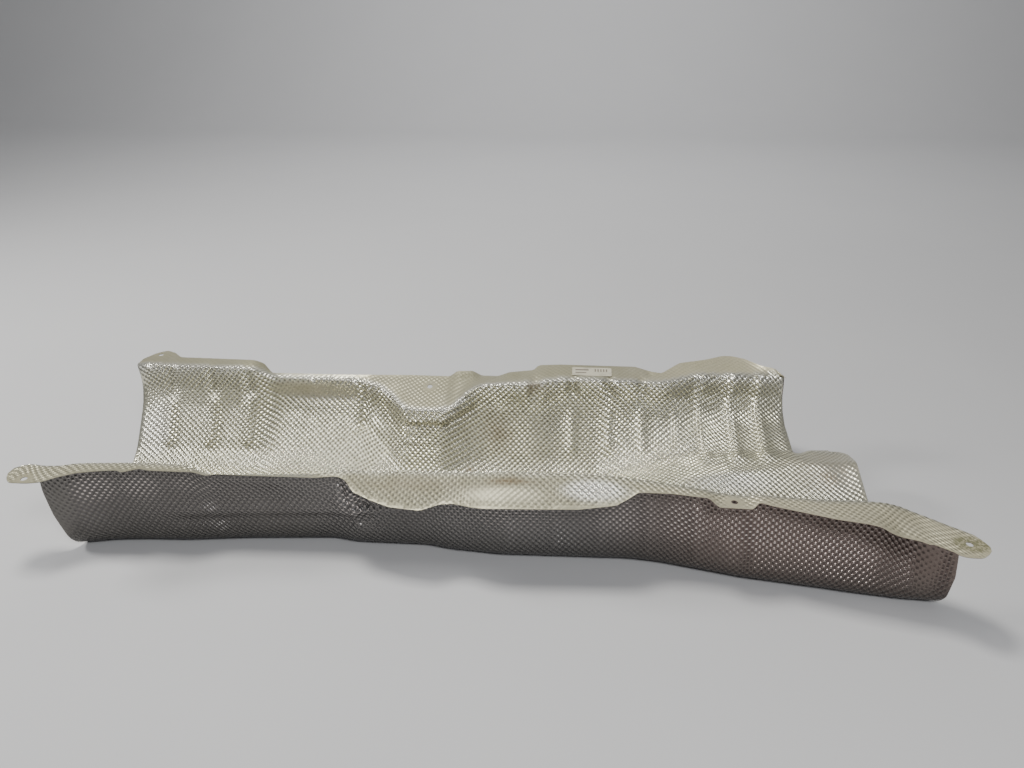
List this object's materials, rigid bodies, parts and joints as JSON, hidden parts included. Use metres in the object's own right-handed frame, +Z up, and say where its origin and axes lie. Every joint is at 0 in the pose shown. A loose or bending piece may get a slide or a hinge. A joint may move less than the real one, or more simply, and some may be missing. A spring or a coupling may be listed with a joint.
{
  "type": "heat shield",
  "caption": "Long pressed trough of embossed aluminium sheet with turned-out flanges, fixing ears and ribs, which shields a car's floor tunnel from exhaust heat.",
  "frame": {"origin": "centre of the outline seen from above, on the plane the part rests on", "axes": "+X along the trough to its wider end with the tongue, +Y across it to the far flange with the dished bay, +Z up out of the open side"},
  "size_m": [1.0402, 0.3951, 0.132],
  "materials": {
    "embossed_aluminium": "dull silver with a warm cream cast, embossed all over with a fine diamond pattern",
    "label_paper": "matt white printed paper, slightly soiled"
  },
  "bodies": {
    "root": {"heat_shield": "embossed_aluminium", "paper_label": "label_paper"}
  },
  "joints": []
}
